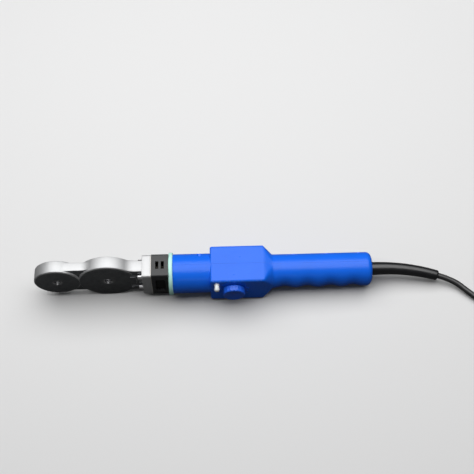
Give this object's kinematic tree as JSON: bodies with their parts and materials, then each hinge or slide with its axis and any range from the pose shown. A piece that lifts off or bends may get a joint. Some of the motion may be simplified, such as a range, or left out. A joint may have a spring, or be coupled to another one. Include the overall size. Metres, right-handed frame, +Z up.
{
  "type": "pipe fusion welder",
  "caption": "Hand-held pipe fusion welder: flat heating plate with two round die lobes, vented collar, moulded grip with finger hollows, side dial and indicator, coiled mains lead with plug.",
  "frame": {"origin": "middle of the tool's footprint box at the ground, without the free cord and its plug, with the tool lying at rest on the big lobe's edge and the heel of the grip", "axes": "+X along the tool from the tip of the heating plate to the cord, +Y away from the dial, +Z up; the tool's own axis dips by 2.76 degrees towards the cord"},
  "size_m": [0.6911, 0.0928, 0.066],
  "materials": {
    "plate": "satin machined",
    "heater_steel": "satin",
    "mica": "matt sheet",
    "screw_steel": "plated",
    "collar": "black, satin",
    "ring": "pale mint, satin",
    "zinc_steel": "plated",
    "shell": "azure blue, moulded gloss",
    "board": "lacquered",
    "knob": "azure blue, moulded",
    "control_black": "moulded, matt",
    "spindle": "turned",
    "lens": "milky, polished",
    "led": "clear red",
    "relay": "moulded",
    "capacitor": "film",
    "terminal": "moulded",
    "lead_sleeve": "woven glass sleeve",
    "sensor_wire": "woven glass sleeve",
    "earth_wire": "insulation",
    "core_wire": "insulation",
    "cord": "black sheath",
    "sleeve": "black, satin",
    "tie": "band",
    "plug": "moulded",
    "contact": "nickel plated"
  },
  "bodies": {
    "tool": {"heating_plate": "plate", "heater_cartridges": "heater_steel", "temperature_sensor": "heater_steel", "heat_shield": "mica", "flange_screws": "screw_steel", "flange_washers": "screw_steel", "vented_collar": "collar", "insulating_ring": "ring", "mounting_disc": "zinc_steel", "front_shell": "shell", "rear_shell": "shell", "shell_screws": "zinc_steel", "control_board": "board", "board_screws": "zinc_steel", "potentiometer": "control_black", "indicator_lens": "lens", "indicator_led": "led", "power_relay": "relay", "filter_capacitor": "capacitor", "terminal_block": "terminal", "mains_terminal": "terminal", "heater_leads": "lead_sleeve", "sensor_lead": "sensor_wire", "earth_lead": "earth_wire", "earth_screw": "zinc_steel", "cord_clamp": "control_black", "clamp_screws": "zinc_steel", "cord_cores": "core_wire", "cord_tail": "cord", "cord_sleeve": "sleeve", "mains_cord": "cord", "cord_coil": "cord", "coil_tie": "tie", "plug_lead": "cord", "plug_body": "plug", "plug_pins": "contact", "plug_earth_strips": "contact"},
    "dial": {"temperature_knob": "knob", "knob_spindle": "spindle"}
  },
  "joints": [
    {"name": "dial_turn", "type": "hinge", "parent": "tool", "child": "dial", "pos_m": [0.0338, -0.019, 0.02921], "axis": [0, -1, 0], "range_deg": [-135, 135]}
  ]
}
